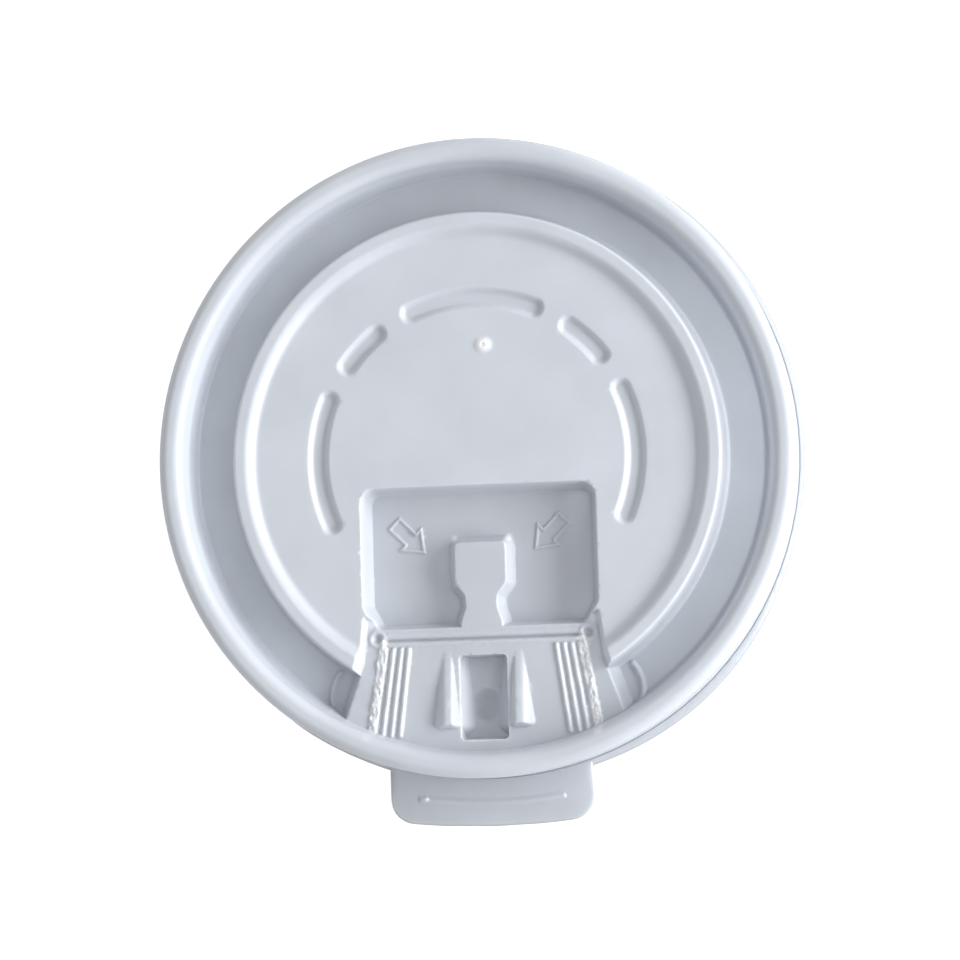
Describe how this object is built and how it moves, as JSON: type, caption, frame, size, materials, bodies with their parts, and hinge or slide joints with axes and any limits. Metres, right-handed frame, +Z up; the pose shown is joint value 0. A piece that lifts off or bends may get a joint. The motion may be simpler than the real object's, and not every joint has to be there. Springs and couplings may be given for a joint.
{
  "type": "takeaway coffee cup lid",
  "caption": "Round push-fit lid for a paper hot cup, with a lift-back drinking flap, a lock post in a pocket, a vent pinhole and a lift tab.",
  "frame": {"origin": "on the lid's axis, in the flat top face of the centre panel", "axes": "+Z up along the lid's axis, -Y towards the drinking flap and the lift tab, +X to the right in the picture"},
  "size_m": [0.0924, 0.0984, 0.0104],
  "materials": {
    "lid_sheet": "semi-gloss thermoformed translucent white sheet"
  },
  "bodies": {
    "root": {"lid": "lid_sheet"}
  },
  "joints": []
}
